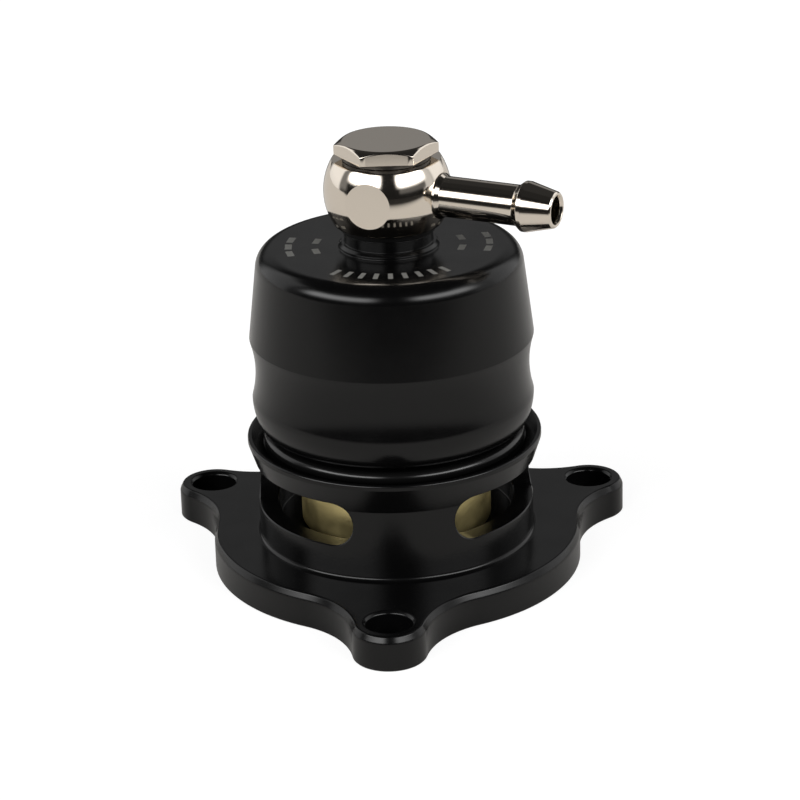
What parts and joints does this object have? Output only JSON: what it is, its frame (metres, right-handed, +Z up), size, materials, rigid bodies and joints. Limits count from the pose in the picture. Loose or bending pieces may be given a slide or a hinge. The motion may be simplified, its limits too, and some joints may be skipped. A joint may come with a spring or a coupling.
{
  "type": "blow off valve",
  "caption": "Turbo blow off valve: eared flange, neck with round-ended vents, sprung brass piston under a turned black cap, and a plated banjo hose fitting on top.",
  "frame": {"origin": "centre of the bolt circle on the flange's lower face", "axes": "+Z up the valve axis towards the banjo, -Y through the front ear"},
  "size_m": [0.068, 0.0655, 0.0646],
  "materials": {
    "anodised_base": "satin black anodised",
    "anodised_cap": "satin black anodised",
    "brass": "turned brass",
    "nickel": "bright nickel plate",
    "spring_steel": "drawn wire",
    "washer_steel": "dull washer",
    "washer_rubber": "bonded sealing washer",
    "rubber": "moulded seal",
    "guide_plastic": "low friction plastic"
  },
  "bodies": {
    "housing": {"base_flange": "anodised_base", "flange_seal": "rubber", "cap": "anodised_cap", "cap_seal": "rubber", "spring": "spring_steel", "pad_washer": "washer_rubber", "head_washer": "washer_steel", "banjo_bolt": "nickel"},
    "piston": {"piston": "brass", "piston_seal": "rubber", "guide_ring": "guide_plastic"},
    "banjo": {"banjo_ring": "nickel", "hose_nipple": "nickel"}
  },
  "joints": [
    {"name": "piston_slide", "type": "slide", "parent": "housing", "child": "piston", "axis": [0, 0, 1], "range_m": [0, 0.008], "stiffness_N_per_m": 1500, "springref_m": -0.01, "deforming": ["spring"]},
    {"name": "banjo_swivel", "type": "hinge", "parent": "housing", "child": "banjo", "pos_m": [0, 0, 0.05722], "axis": [0, 0, 1], "continuous": true}
  ]
}
